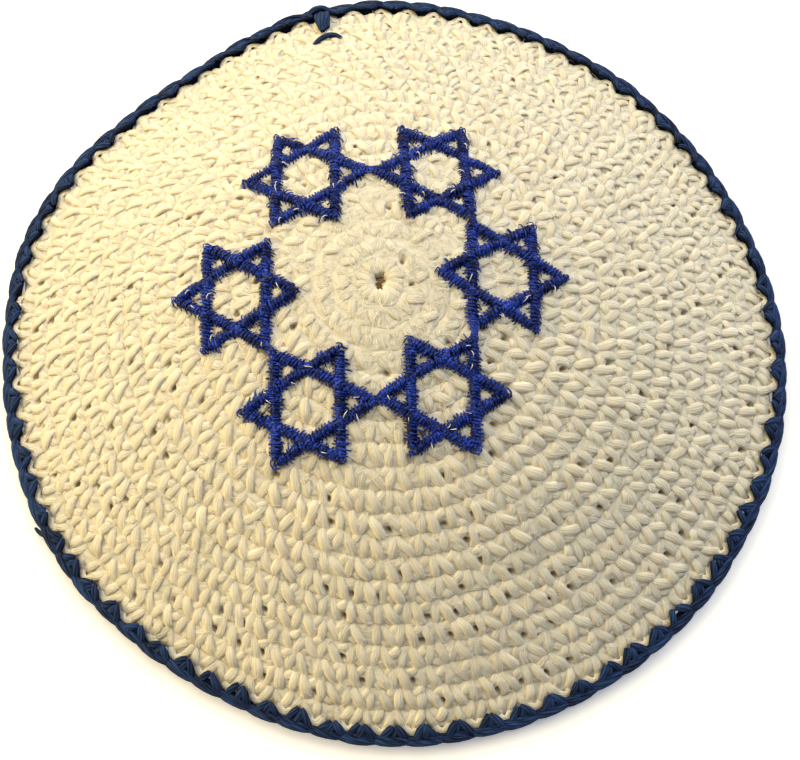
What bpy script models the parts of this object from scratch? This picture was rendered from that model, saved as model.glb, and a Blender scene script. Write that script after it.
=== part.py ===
"""Crocheted kippah skullcap: a domed cotton crown worked in rounds, a toothed
border round its rim and a ring of six satin-stitch stars round its centre.

Metres, +Z up. The cap stands on its rim: the underside of the border is z = 0
and the middle of the rim's bounding box is x = y = 0. -Y is the front.
"""

import math

import bmesh
import bpy
from mathutils import Vector

# Whole cap
RIM_RADIUS = 0.0867
HEIGHT = 0.0334
CENTRE_SHIFT_X = -0.0030  # how far the crown's centre lies from the rim's
CENTRE_SHIFT_Y = 0.0035
CLEARANCE = 0.0003  # between two pieces that touch

# Crown
WALL = 0.003
ROUNDS = 20
ROUND_GROOVE = 0.0007
EYE_RADIUS = 0.001
CROWN_SIDES = 60
LINING_STEPS = 10

# Edging
EDGE_WIDTH = 0.0026
EDGE_HEIGHT = 0.0036
TEETH = 80
TOOTH_REACH = 0.0038
TOOTH_THICKNESS = 0.0011
TOOTH_BASE_SHARE = 0.32  # half of a tooth's base as a share of the tooth spacing
NOTCH_REACH = 0.0007

# Stars
STAR_RADIUS = 0.0122  # centre to the crossing of the bands in a tip
BAND_WIDTH = 0.0027
TIP_OVERRUN = 0.0004
STAR_THICKNESS = 0.0011
BAND_ROUNDING = 0.0004

PROFILE_STEPS = 400
SLOPE_BLUR = 0.05

# Slope of the dome from the eye to the rim: share of the slant, degrees
SLOPE = (
    (0.00, 0.0),
    (0.10, 5.0),
    (0.25, 12.0),
    (0.40, 19.0),
    (0.55, 25.0),
    (0.70, 29.0),
    (0.85, 30.0),
    (1.00, 28.0),
)

# The rim is not quite round: waves per turn, cosine share, sine share of its radius
RIM_WAVES = (
    (2, 0.006, -0.004),
    (3, -0.006, -0.0055),
    (4, 0.009, -0.0025),
    (5, 0.0, 0.0045),
    (6, -0.004, -0.0045),
    (7, 0.004, 0.001),
)

# Stars, each a little out of true: name, bearing in degrees, distance from the centre as a share,
# own turn in degrees, stretch outward, skew
STARS = (
    ("star_right", 7.5, 0.293, -8.3, 1.00, 0.077),
    ("star_back_right", 68.5, 0.349, -5.8, 1.05, 0.056),
    ("star_back_left", 122.7, 0.378, -1.1, 1.12, -0.007),
    ("star_left", 181.0, 0.364, -0.6, 1.05, -0.073),
    ("star_front_left", 237.6, 0.343, 5.7, 1.03, -0.102),
    ("star_front_right", 297.8, 0.301, 4.2, 0.94, -0.010),
)

# Colours and roughness of the yarns
YARNS = {
    "crown_yarn": ((0.80, 0.72, 0.55, 1.0), 0.95),
    "edging_yarn": ((0.030, 0.065, 0.175, 1.0), 0.9),
    "star_thread": ((0.016, 0.035, 0.32, 1.0), 0.55),
}


def between(table, share):
    """Linear reading of a two-column table."""
    for (x0, y0), (x1, y1) in zip(table, table[1:]):
        if share <= x1:
            return y0 + (y1 - y0) * (share - x0) / (x1 - x0)
    return table[-1][1]


def slope_at(share):
    """Slope of the dome in radians, averaged over a short stretch of the slant."""
    total = 0.0
    for offset in (-1.0, -0.5, 0.0, 0.5, 1.0):
        place = share + offset * SLOPE_BLUR
        total += math.copysign(between(SLOPE, abs(place)), place)
    return math.radians(total / 5)


def dome_profile():
    """Running shares of the radius and of the drop, from the centre to the rim."""
    outward = [0.0]
    downward = [0.0]
    for step in range(PROFILE_STEPS):
        slope = slope_at((step + 0.5) / PROFILE_STEPS)
        outward.append(outward[-1] + math.cos(slope))
        downward.append(downward[-1] + math.sin(slope))
    radius_shares = [value / outward[-1] for value in outward]
    drop_shares = [value / downward[-1] for value in downward]
    return radius_shares, drop_shares


RADIUS_SHARES, DROP_SHARES = dome_profile()


def read_profile(shares, slant):
    place = min(max(slant, 0.0), 1.0) * PROFILE_STEPS
    index = min(int(place), PROFILE_STEPS - 1)
    return shares[index] + (shares[index + 1] - shares[index]) * (place - index)


def slant_of(radius_share):
    """The share of the slant at which the dome has this share of the rim's radius."""
    low = 0.0
    high = 1.0
    for _ in range(30):
        middle = (low + high) / 2
        if read_profile(RADIUS_SHARES, middle) < radius_share:
            low = middle
        else:
            high = middle
    return (low + high) / 2


CROWN_RADIUS = RIM_RADIUS - EDGE_WIDTH - CLEARANCE
EDGE_SLOPE = slope_at(1.0)
CROWN_FOOT = CLEARANCE + WALL * math.cos(EDGE_SLOPE)
EYE_SLANT = slant_of(EYE_RADIUS / CROWN_RADIUS)


def rim_wave(bearing):
    """How much the rim swells or draws in at this bearing, as a share of its radius."""
    return sum(
        cosine * math.cos(waves * bearing) + sine * math.sin(waves * bearing)
        for waves, cosine, sine in RIM_WAVES
    )


def dome_point(bearing, slant, lift=0.0, outward=0.0):
    """A point on the crown's outer face, lifted off it by lift and moved outward."""
    share = read_profile(RADIUS_SHARES, slant)
    drop = read_profile(DROP_SHARES, slant)
    slope = slope_at(min(slant, 1.0))
    swell = 1.0 + rim_wave(bearing) * share
    radius = CROWN_RADIUS * share * swell + lift * math.sin(slope) + outward
    height = HEIGHT - (HEIGHT - CROWN_FOOT) * drop + lift * math.cos(slope)
    fade = 1.0 - share
    return Vector(
        (
            radius * math.cos(bearing) + CENTRE_SHIFT_X * fade,
            radius * math.sin(bearing) + CENTRE_SHIFT_Y * fade,
            height,
        )
    )


def rim_point(bearing, inset, height):
    """A point on the edging, inset from the rim's outline."""
    radius = RIM_RADIUS + CROWN_RADIUS * rim_wave(bearing) - inset
    return Vector((radius * math.cos(bearing), radius * math.sin(bearing), height))


def yarn_material(slot):
    colour, roughness = YARNS[slot]
    material = bpy.data.materials.get(slot) or bpy.data.materials.new(slot)
    material.use_nodes = True
    shader = material.node_tree.nodes["Principled BSDF"]
    shader.inputs["Base Color"].default_value = colour
    shader.inputs["Roughness"].default_value = roughness
    shader.inputs["Metallic"].default_value = 0.0
    return material


def add_object(name, mesh_data, slot):
    """Makes a named object from a finished bmesh, smooth shaded and facing outward."""
    bmesh.ops.recalc_face_normals(mesh_data, faces=mesh_data.faces)
    if mesh_data.calc_volume(signed=True) < 0:
        bmesh.ops.reverse_faces(mesh_data, faces=mesh_data.faces)
    mesh = bpy.data.meshes.new(name)
    mesh_data.to_mesh(mesh)
    mesh_data.free()
    mesh.materials.append(yarn_material(slot))
    mesh.shade_smooth()
    made = bpy.data.objects.new(name, mesh)
    bpy.context.scene.collection.objects.link(made)
    return made


def ring_of_sections(sections):
    """A closed body from equal loops of points set round the cap."""
    body = bmesh.new()
    rows = [[body.verts.new(point) for point in section] for section in sections]
    count = len(rows[0])
    for index, row in enumerate(rows):
        following = rows[(index + 1) % len(rows)]
        for side in range(count):
            after = (side + 1) % count
            body.faces.new((row[side], row[after], following[after], following[side]))
    return body


def crown_section(bearing):
    """Outer face with a groove after each round, the edge and the inner face."""
    points = [dome_point(bearing, EYE_SLANT, -ROUND_GROOVE)]
    span = 1.0 - EYE_SLANT
    for number in range(ROUNDS):
        points.append(dome_point(bearing, EYE_SLANT + span * (number + 0.5) / ROUNDS))
        if number < ROUNDS - 1:
            groove = EYE_SLANT + span * (number + 1) / ROUNDS
            points.append(dome_point(bearing, groove, -ROUND_GROOVE))
    points.append(dome_point(bearing, 1.0, -ROUND_GROOVE))
    for number in range(LINING_STEPS + 1):
        points.append(dome_point(bearing, 1.0 - span * number / LINING_STEPS, -WALL))
    return points


def build_crown():
    sections = [crown_section(math.tau * side / CROWN_SIDES) for side in range(CROWN_SIDES)]
    return add_object("crown", ring_of_sections(sections), "crown_yarn")


def edging_section(bearing, reach):
    """The border's rolled edge and, over the crown, a tooth of the given reach."""
    slant_length = CROWN_RADIUS / math.cos(EDGE_SLOPE)
    tip = 1.0 - reach / slant_length
    over_edge = CROWN_FOOT + TOOTH_THICKNESS + CLEARANCE
    return [
        rim_point(bearing, 0.18 * EDGE_WIDTH, 0.0),
        rim_point(bearing, 0.0, 0.40 * EDGE_HEIGHT),
        rim_point(bearing, 0.22 * EDGE_WIDTH, 0.85 * EDGE_HEIGHT),
        rim_point(bearing, 0.75 * EDGE_WIDTH, max(EDGE_HEIGHT, over_edge)),
        dome_point(bearing, tip, CLEARANCE + TOOTH_THICKNESS * 0.8),
        dome_point(bearing, tip, CLEARANCE),
        dome_point(bearing, 1.0, CLEARANCE, CLEARANCE),
        rim_point(bearing, EDGE_WIDTH, 0.0),
    ]


def build_edging():
    spacing = math.tau / TEETH
    sections = []
    for tooth in range(TEETH):
        middle = spacing * tooth
        sections.append(edging_section(middle - TOOTH_BASE_SHARE * spacing, NOTCH_REACH))
        sections.append(edging_section(middle, TOOTH_REACH))
        sections.append(edging_section(middle + TOOTH_BASE_SHARE * spacing, NOTCH_REACH))
    return add_object("edging", ring_of_sections(sections), "edging_yarn")


def star_pieces():
    """The flat star as faces of (x, y) corners: the piece behind a tip, turned six times."""
    near = STAR_RADIUS / 2 - BAND_WIDTH / 2
    far = STAR_RADIUS / 2 + BAND_WIDTH / 2
    tip_end = STAR_RADIUS + TIP_OVERRUN
    lean = math.tan(math.radians(30))
    tip_half = (2 * far - tip_end) * lean
    hole_half = (2 * near - far) * lean
    tip = (tip_end, tip_half)
    hole_tip = (2 * near, 0.0)
    hole = (far, hole_half)
    reflex = (far, far * lean)
    inner = (near, near * lean)
    half = ((tip, hole_tip, hole, reflex), (reflex, hole, inner))
    whole = [
        (tip, mirrored(tip), hole_tip),
        (hole, mirrored(hole), mirrored(inner), inner),
    ]
    for face in half:
        whole.append(face)
        whole.append([mirrored(point) for point in face])
    for turn in range(6):
        cosine = math.cos(math.radians(60 * turn))
        sine = math.sin(math.radians(60 * turn))
        for face in whole:
            yield [(x * cosine - y * sine, x * sine + y * cosine) for x, y in face]


def mirrored(point):
    return (point[0], -point[1])


def lay_on_dome(point, bearing, distance_share, turn, stretch, skew):
    """Where a point of the flat star comes to lie on the dome."""
    outward = stretch * (point.x * math.cos(turn) - point.y * math.sin(turn))
    across = point.x * math.sin(turn) + point.y * math.cos(turn) + skew * outward
    foreshortening = math.cos(slope_at(slant_of(distance_share)))
    distance = distance_share * CROWN_RADIUS + outward * foreshortening
    angle = bearing + math.atan2(across, distance)
    return dome_point(angle, slant_of(math.hypot(distance, across) / CROWN_RADIUS), point.z)


def build_star(name, bearing_degrees, distance_share, turn_degrees, stretch, skew):
    """A raised outline star laid on the dome, one tip pointing away from the centre."""
    body = bmesh.new()
    for face in star_pieces():
        body.faces.new([body.verts.new((x, y, CLEARANCE)) for x, y in face])
    bmesh.ops.remove_doubles(body, verts=body.verts, dist=BAND_WIDTH / 1000)
    bmesh.ops.recalc_face_normals(body, faces=body.faces)
    base = list(body.faces)
    raised = bmesh.ops.extrude_face_region(body, geom=base, use_keep_orig=True)
    top_verts = [item for item in raised["geom"] if isinstance(item, bmesh.types.BMVert)]
    top_faces = [item for item in raised["geom"] if isinstance(item, bmesh.types.BMFace)]
    bmesh.ops.translate(body, verts=top_verts, vec=(0.0, 0.0, STAR_THICKNESS))
    inside = set(top_faces)
    brim = {
        edge
        for face in top_faces
        for edge in face.edges
        if any(neighbour not in inside for neighbour in edge.link_faces)
    }
    bmesh.ops.bevel(
        body,
        geom=sorted(brim, key=lambda edge: edge.index),
        offset=BAND_ROUNDING,
        offset_type="OFFSET",
        segments=1,
        affect="EDGES",
    )
    bearing = math.radians(bearing_degrees)
    turn = math.radians(turn_degrees)
    for vert in body.verts:
        vert.co = lay_on_dome(vert.co, bearing, distance_share, turn, stretch, skew)
    return add_object(name, body, "star_thread")


def set_on_origin(made):
    """Brings the middle of the footprint to x = y = 0 and the underside to z = 0."""
    points = [vert.co for item in made for vert in item.data.vertices]
    low = Vector([min(point[axis] for point in points) for axis in range(3)])
    high = Vector([max(point[axis] for point in points) for axis in range(3)])
    middle = (low + high) / 2
    for item in made:
        for vert in item.data.vertices:
            vert.co -= Vector((middle.x, middle.y, low.z))


def main():
    for existing in list(bpy.data.objects):
        bpy.data.objects.remove(existing, do_unlink=True)
    made = [build_crown(), build_edging()]
    for star in STARS:
        made.append(build_star(*star))
    set_on_origin(made)


main()
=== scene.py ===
"""Crocheted kippah skullcap: cream single crochet worked in rounds, a navy
toothed border and a ring of six royal-blue satin-stitch stars."""

import math
from functools import partial

import bpy
import numpy as np
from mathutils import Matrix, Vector


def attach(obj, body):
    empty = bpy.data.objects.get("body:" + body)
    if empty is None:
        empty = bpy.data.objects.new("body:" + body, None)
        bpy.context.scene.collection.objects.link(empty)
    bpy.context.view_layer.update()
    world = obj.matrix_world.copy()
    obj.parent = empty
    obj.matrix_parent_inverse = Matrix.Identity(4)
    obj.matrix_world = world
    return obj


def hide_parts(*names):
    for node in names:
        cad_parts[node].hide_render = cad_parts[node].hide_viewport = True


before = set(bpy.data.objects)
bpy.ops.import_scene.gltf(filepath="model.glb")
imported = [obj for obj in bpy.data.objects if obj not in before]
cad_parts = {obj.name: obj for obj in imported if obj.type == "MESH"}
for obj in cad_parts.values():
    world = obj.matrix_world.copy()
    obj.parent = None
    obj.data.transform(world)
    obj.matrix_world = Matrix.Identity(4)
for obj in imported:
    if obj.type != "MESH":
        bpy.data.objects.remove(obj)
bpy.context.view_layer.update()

TAU = math.tau
MM = 0.001
rng = np.random.default_rng(7954)

# The dome's form, as in the part's source
RIM_RADIUS = 0.0867
HEIGHT = 0.0334
CENTRE_SHIFT_X = -0.0030
CENTRE_SHIFT_Y = 0.0035
CLEARANCE = 0.0003
WALL = 0.003
EDGE_WIDTH = 0.0026
ROUNDS = 20
TEETH = 80
TOOTH_BASE_SHARE = 0.32
EYE_RADIUS = 0.001
STAR_RADIUS = 0.0122
BAND_WIDTH = 0.0027
PROFILE_STEPS = 400
SLOPE_BLUR = 0.05

# Slope of the dome: share of the slant, degrees
SLOPE = np.array(
    (
        (0.00, 0.0),
        (0.10, 5.0),
        (0.25, 12.0),
        (0.40, 19.0),
        (0.55, 25.0),
        (0.70, 29.0),
        (0.85, 30.0),
        (1.00, 28.0),
    )
)

# Waves of the rim: waves per turn, cosine share, sine share
RIM_WAVES = (
    (2, 0.006, -0.004),
    (3, -0.006, -0.0055),
    (4, 0.009, -0.0025),
    (5, 0.0, 0.0045),
    (6, -0.004, -0.0045),
    (7, 0.004, 0.001),
)

# Stars: name, bearing in degrees, distance share, own turn in degrees, stretch outward, skew
STARS = (
    ("star_right", 7.5, 0.293, -8.3, 1.00, 0.077),
    ("star_back_right", 68.5, 0.349, -5.8, 1.05, 0.056),
    ("star_back_left", 122.7, 0.378, -1.1, 1.12, -0.007),
    ("star_left", 181.0, 0.364, -0.6, 1.05, -0.073),
    ("star_front_left", 237.6, 0.343, 5.7, 1.03, -0.102),
    ("star_front_right", 297.8, 0.301, 4.2, 0.94, -0.010),
)


# The dome's surface


def slope_at(slant):
    """Slope in radians, averaged over a short stretch of the slant."""
    total = 0.0
    for offset in (-1.0, -0.5, 0.0, 0.5, 1.0):
        place = slant + offset * SLOPE_BLUR
        total = total + np.sign(place) * np.interp(np.abs(place), SLOPE[:, 0], SLOPE[:, 1])
    return np.radians(total / 5)


def profile():
    middle = slope_at((np.arange(PROFILE_STEPS) + 0.5) / PROFILE_STEPS)
    outward = np.concatenate([[0.0], np.cumsum(np.cos(middle))])
    downward = np.concatenate([[0.0], np.cumsum(np.sin(middle))])
    return outward / outward[-1], downward / downward[-1], outward[-1] / PROFILE_STEPS


RADIUS_SHARES, DROP_SHARES, MEAN_COSINE = profile()
SLANT_SHARES = np.linspace(0.0, 1.0, PROFILE_STEPS + 1)
CROWN_RADIUS = RIM_RADIUS - EDGE_WIDTH - CLEARANCE
SLANT_LENGTH = CROWN_RADIUS / MEAN_COSINE
EDGE_SLOPE = float(slope_at(np.array(1.0)))
CROWN_FOOT = CLEARANCE + WALL * math.cos(EDGE_SLOPE)


def slant_of(radius_share):
    return np.interp(radius_share, RADIUS_SHARES, SLANT_SHARES)


def rim_wave(bearing):
    total = 0.0
    for waves, cosine, sine in RIM_WAVES:
        total = total + cosine * np.cos(waves * bearing) + sine * np.sin(waves * bearing)
    return total


def footprint_middle():
    """The middle of the rim's bounding box, which the part stands on."""
    teeth = TAU / TEETH * (np.arange(TEETH)[:, None] + np.array([-1, 0, 1]) * TOOTH_BASE_SHARE)
    bearing = teeth.ravel()
    radius = RIM_RADIUS + CROWN_RADIUS * rim_wave(bearing)
    x = radius * np.cos(bearing)
    y = radius * np.sin(bearing)
    return (x.min() + x.max()) / 2, (y.min() + y.max()) / 2


MIDDLE = footprint_middle()
EYE_SLANT = float(slant_of(EYE_RADIUS / CROWN_RADIUS))


def dome(bearing, slant, lift):
    """Points on the crown's outer face, lifted off it; past the edge it runs straight on."""
    past = np.maximum(slant - 1.0, 0.0) * SLANT_LENGTH
    share = np.interp(slant, SLANT_SHARES, RADIUS_SHARES)
    drop = np.interp(slant, SLANT_SHARES, DROP_SHARES)
    slope = slope_at(np.minimum(slant, 1.0))
    swell = 1.0 + rim_wave(bearing) * share
    radius = CROWN_RADIUS * share * swell + lift * np.sin(slope) + past * math.cos(EDGE_SLOPE)
    height = HEIGHT - (HEIGHT - CROWN_FOOT) * drop + lift * np.cos(slope)
    height = height - past * math.sin(EDGE_SLOPE)
    fade = 1.0 - share
    x = radius * np.cos(bearing) + CENTRE_SHIFT_X * fade - MIDDLE[0]
    y = radius * np.sin(bearing) + CENTRE_SHIFT_Y * fade - MIDDLE[1]
    return np.stack([x, y, height], -1)


def dome_normal(bearing, slant):
    slope = slope_at(np.minimum(slant, 1.0))
    return np.stack([np.sin(slope) * np.cos(bearing), np.sin(slope) * np.sin(bearing), np.cos(slope)], -1)


def rim(bearing, inset, height):
    """Points round the rim, inset from its outline."""
    radius = RIM_RADIUS + CROWN_RADIUS * rim_wave(bearing) - inset
    return np.stack(
        [radius * np.cos(bearing) - MIDDLE[0], radius * np.sin(bearing) - MIDDLE[1], height], -1
    )


# Yarn as tubes


def spline_weights(controls, points):
    """Weights that run a Catmull-Rom curve through equally spaced control points."""
    weights = np.zeros((points, controls))
    for row, place in enumerate(np.linspace(0, controls - 1, points)):
        index = min(int(place), controls - 2)
        t = place - index
        parts = (
            -0.5 * t + t * t - 0.5 * t**3,
            1 - 2.5 * t * t + 1.5 * t**3,
            0.5 * t + 2 * t * t - 1.5 * t**3,
            -0.5 * t * t + 0.5 * t**3,
        )
        for offset, part in zip((-1, 0, 1, 2), parts):
            weights[row, min(max(index + offset, 0), controls - 1)] += part
    return weights


class Bundle:
    """Gathers tubes of one number of sides and steps, and makes one mesh of them."""

    def __init__(self, sides):
        self.sides = sides
        self.points = []
        self.faces = []
        self.uvs = []
        self.tones = []
        self.count = 0

    def add(self, paths, radii, ups, tones, flatness=1.0):
        """paths (n, m, 3), radii (n, m), ups (n, m, 3), tones (n,); flatness squeezes upward."""
        paths = np.asarray(paths, float)
        number, steps = paths.shape[:2]
        tangent = np.gradient(paths, axis=1)
        tangent /= np.linalg.norm(tangent, axis=-1, keepdims=True) + 1e-12
        side = np.cross(tangent, ups)
        side /= np.linalg.norm(side, axis=-1, keepdims=True) + 1e-12
        up = np.cross(side, tangent)
        angle = TAU * np.arange(self.sides) / self.sides
        ring = (
            np.cos(angle)[:, None] * side[:, :, None, :]
            + flatness * np.sin(angle)[:, None] * up[:, :, None, :]
        )
        verts = paths[:, :, None, :] + np.asarray(radii)[:, :, None, None] * ring
        index = self.count + np.arange(number * steps * self.sides).reshape(number, steps, self.sides)
        after = np.roll(index, -1, axis=2)
        quads = np.stack([index[:, :-1], after[:, :-1], after[:, 1:], index[:, 1:]], -1)
        length = np.concatenate(
            [np.zeros((number, 1)), np.cumsum(np.linalg.norm(np.diff(paths, axis=1), axis=-1), 1)], 1
        )
        around = np.arange(self.sides + 1) / self.sides
        u = np.broadcast_to(
            np.stack([around[:-1], around[1:], around[1:], around[:-1]], -1),
            (number, steps - 1, self.sides, 4),
        )
        start = length[:, :-1, None]
        end = length[:, 1:, None]
        v = np.broadcast_to(
            np.stack([start, start, end, end], -1), (number, steps - 1, self.sides, 4)
        )
        self.points.append(verts.reshape(-1, 3))
        self.faces.append(quads.reshape(-1, 4))
        self.uvs.append(np.stack([u, v / MM], -1).reshape(-1, 2))
        self.tones.append(np.repeat(np.asarray(tones, float), steps * self.sides))
        self.count += number * steps * self.sides

    def mesh(self, name):
        return mesh_of(name, self.points, self.faces, self.uvs, np.concatenate(self.tones))


def mesh_of(name, points, faces, uvs, tones):
    """One smooth mesh of four-cornered faces, from lists of arrays."""
    points = np.concatenate(points)
    faces = np.concatenate(faces)
    made = bpy.data.meshes.new(name)
    made.vertices.add(len(points))
    made.vertices.foreach_set("co", points.astype(np.float32).ravel())
    made.loops.add(faces.size)
    made.loops.foreach_set("vertex_index", faces.astype(np.int32).ravel())
    made.polygons.add(len(faces))
    made.polygons.foreach_set("loop_start", np.arange(0, faces.size, 4, dtype=np.int32))
    layer = made.uv_layers.new(name="strand")
    layer.uv.foreach_set("vector", np.concatenate(uvs).astype(np.float32).ravel())
    tone = made.attributes.new("tone", "FLOAT", "POINT")
    tone.data.foreach_set("value", tones.astype(np.float32))
    made.update(calc_edges=True)
    made.shade_smooth()
    return made


def place(name, mesh, material, replaced, slot_name):
    made = bpy.data.objects.new(name, mesh)
    bpy.context.scene.collection.objects.link(made)
    mesh.materials.append(material)
    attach(made, "root")
    if replaced:
        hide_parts(*replaced)
    return made


# Materials

# A yarn's colour level runs from its dark colour at 0 to its light colour at 1
# The plies' stripes are painted shade: the groove between two plies is darker than their tops
PLY_GROOVE_SHADE = 0.38  # the plies' part of it
PLY_POWER = 0.6  # below 1 it widens the light side of each ply
PLY_BUMP = 0.6
TONE_TURN = 7.0  # a strand's tone turns its plies
TONE_SEED = 31.0  # and picks another part of the fibres' noise
FIBRE_SCALE = 1.7
FIBRE_STRETCH = 0.22  # below 1 it draws the noise out along the strand
CLOUD_SCALE = 260.0  # patches of a few millimetres
GLINT_SCALE = 2600.0
NOISE_DETAIL = 2.0
GLINT_DETAIL = 1.0
# Where the painted shade at a strand's sides begins, in the sine of the angle round it
CREASE_SHADE_START = 0.55
BUMP_DISTANCE = 0.00025
YARN_SPECULAR = 0.2
SOFT_RADIUS = (1.0, 0.8, 0.55)
SOFT_SCALE = 0.0016


def shader_tree(name):
    material = bpy.data.materials.new(name)
    material.use_nodes = True
    tree = material.node_tree
    return material, tree, tree.nodes["Principled BSDF"]


def node(tree, kind, **settings):
    made = tree.nodes.new(kind)
    for key, value in settings.items():
        setattr(made, key, value)
    return made


def feed(tree, socket, value):
    """Links an output to a socket, or sets the socket to a plain value."""
    if isinstance(value, bpy.types.NodeSocket):
        tree.links.new(value, socket)
    else:
        socket.default_value = value


def math_node(tree, operation, *values, clamp=False):
    made = node(tree, "ShaderNodeMath", operation=operation, use_clamp=clamp)
    for socket, value in zip(made.inputs, values):
        feed(tree, socket, value)
    return made.outputs[0]


def mix_colour(tree, factor, first, second):
    made = node(tree, "ShaderNodeMix", data_type="RGBA")
    for index, value in ((0, factor), (6, first), (7, second)):
        feed(tree, made.inputs[index], value)
    return made.outputs[2]


def noise(tree, vector, scale, detail):
    made = node(tree, "ShaderNodeTexNoise")
    feed(tree, made.inputs["Vector"], vector)
    feed(tree, made.inputs["Scale"], scale)
    feed(tree, made.inputs["Detail"], detail)
    return made.outputs[0]


def attribute(tree, name):
    return node(tree, "ShaderNodeAttribute", attribute_name=name).outputs["Fac"]


def yarn_material(
    name,
    dark,
    light,
    plies,
    twist,
    roughness,
    bump,
    fleck=0.5,
    depth=0.36,
    patches_and_sheen=0.25,
    single=0.30,
    crease_shade=0.0,
    painted_glint=0.0,
    soft=0.0,
    pit_shade=None,
):
    """Twisted yarn: plies wind round the strand, fine fibres run along it."""
    material, tree, shader = shader_tree(name)
    maths = partial(math_node, tree)
    uv = node(tree, "ShaderNodeUVMap", uv_map="strand")
    split = node(tree, "ShaderNodeSeparateXYZ")
    tree.links.new(uv.outputs[0], split.inputs[0])
    around, along = split.outputs[0], split.outputs[1]
    tone = attribute(tree, "tone")
    wound = maths("ADD", maths("MULTIPLY", around, plies), maths("MULTIPLY", along, twist))
    shifted = maths("ADD", wound, maths("MULTIPLY", tone, TONE_TURN))
    wave = maths("SINE", maths("MULTIPLY", shifted, TAU))
    ply = maths("POWER", maths("MULTIPLY_ADD", wave, 0.5, 0.5), PLY_POWER)
    # Fibres: noise drawn out along the strand
    stretch = node(tree, "ShaderNodeCombineXYZ")
    tree.links.new(shifted, stretch.inputs[0])
    tree.links.new(maths("MULTIPLY", along, FIBRE_STRETCH), stretch.inputs[1])
    tree.links.new(maths("MULTIPLY", tone, TONE_SEED), stretch.inputs[2])
    fibre = noise(tree, stretch.outputs[0], FIBRE_SCALE, NOISE_DETAIL)
    spot = node(tree, "ShaderNodeTexCoord").outputs["Object"]
    cloud = noise(tree, spot, CLOUD_SCALE, NOISE_DETAIL)
    # Painted shade in the grooves between the plies
    level = maths("MULTIPLY", ply, PLY_GROOVE_SHADE)
    # The cloud's patches are the yarn's own uneven tone; in the silk they are painted sheen
    for part, share in ((fibre, fleck), (cloud, patches_and_sheen), (tone, single)):
        level = maths("ADD", level, maths("MULTIPLY", part, share))
    if crease_shade:
        # Painted shade: the sides of a strand, where it meets its neighbours, are darker than its top, as
        # if in the shadow between strands
        upward = maths("SINE", maths("MULTIPLY", around, TAU))
        side = maths("SUBTRACT", CREASE_SHADE_START, upward, clamp=True)
        level = maths("SUBTRACT", level, maths("MULTIPLY", side, crease_shade))
    if painted_glint:
        # Painted glints: bright specks in the colour that stand in for highlights
        glint = maths("SUBTRACT", noise(tree, spot, GLINT_SCALE, GLINT_DETAIL), 0.5)
        level = maths("ADD", level, maths("MULTIPLY", glint, painted_glint))
    level = maths("SUBTRACT", level, depth, clamp=True)
    colour = mix_colour(tree, level, dark, light)
    # Painted shade: where the shade attribute is high, at the pits, the colour turns dark brown
    if pit_shade:
        colour = mix_colour(tree, attribute(tree, "shade"), colour, pit_shade)
    tree.links.new(colour, shader.inputs["Base Color"])
    bumper = node(tree, "ShaderNodeBump")
    bumper.inputs["Strength"].default_value = bump
    bumper.inputs["Distance"].default_value = BUMP_DISTANCE
    height = maths("ADD", fibre, maths("MULTIPLY", ply, PLY_BUMP))
    tree.links.new(height, bumper.inputs["Height"])
    tree.links.new(bumper.outputs[0], shader.inputs["Normal"])
    shader.inputs["Roughness"].default_value = roughness
    shader.inputs["Specular IOR Level"].default_value = YARN_SPECULAR
    if soft:
        shader.subsurface_method = "BURLEY"
        shader.inputs["Subsurface Weight"].default_value = soft
        shader.inputs["Subsurface Radius"].default_value = SOFT_RADIUS
        shader.inputs["Subsurface Scale"].default_value = SOFT_SCALE
    return material


CREAM_DARK = (0.62, 0.565, 0.455, 1)
CREAM_LIGHT = (0.85, 0.81, 0.72, 1)
# Dark brown painted into the backing's pits, as shade in the small holes
PIT_SHADE_BROWN = (0.15, 0.095, 0.04, 1)
CREAM = yarn_material(
    "cream cotton",
    CREAM_DARK,
    CREAM_LIGHT,
    plies=11.0,
    twist=0.22,
    roughness=0.95,
    bump=0.45,
    depth=0.30,
    crease_shade=0.30,
    soft=0.7,
)
CREAM_BACK = yarn_material(
    "cream cotton behind",
    CREAM_DARK,
    CREAM_LIGHT,
    plies=5.0,
    twist=0.22,
    roughness=0.95,
    bump=0.55,
    depth=0.27,
    soft=0.5,
    pit_shade=PIT_SHADE_BROWN,
)
# Dark brown cotton below the eye: painted shade in the hole
EYE_SHADE_YARN = yarn_material(
    "cotton painted in shade",
    (0.13, 0.08, 0.035, 1),
    (0.30, 0.20, 0.10, 1),
    plies=9.0,
    twist=0.2,
    roughness=0.95,
    bump=0.4,
)
FUZZ = yarn_material(
    "cream fibres",
    (0.87, 0.83, 0.74, 1),
    (0.94, 0.91, 0.84, 1),
    plies=1.0,
    twist=0.0,
    roughness=0.95,
    bump=0.0,
)
NAVY = yarn_material(
    "navy cotton",
    (0.0005, 0.001, 0.006, 1),
    (0.030, 0.077, 0.25, 1),
    plies=6.0,
    twist=0.3,
    roughness=0.85,
    bump=1.0,
    fleck=1.2,
    depth=0.68,
    crease_shade=0.7,
)
# Much of the silk's light and shade is painted into its colour: its large light and dark patches stand in
# for its sheen, its specks are painted glints
ROYAL = yarn_material(
    "royal-blue silk",
    (0.001, 0.003, 0.026, 1),
    (0.046, 0.118, 0.88, 1),
    plies=2.0,
    twist=0.5,
    roughness=0.35,
    bump=0.2,
    depth=0.90,
    patches_and_sheen=1.2,
    single=0.12,
    painted_glint=2.8,
)


# The crown's stitches

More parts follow.
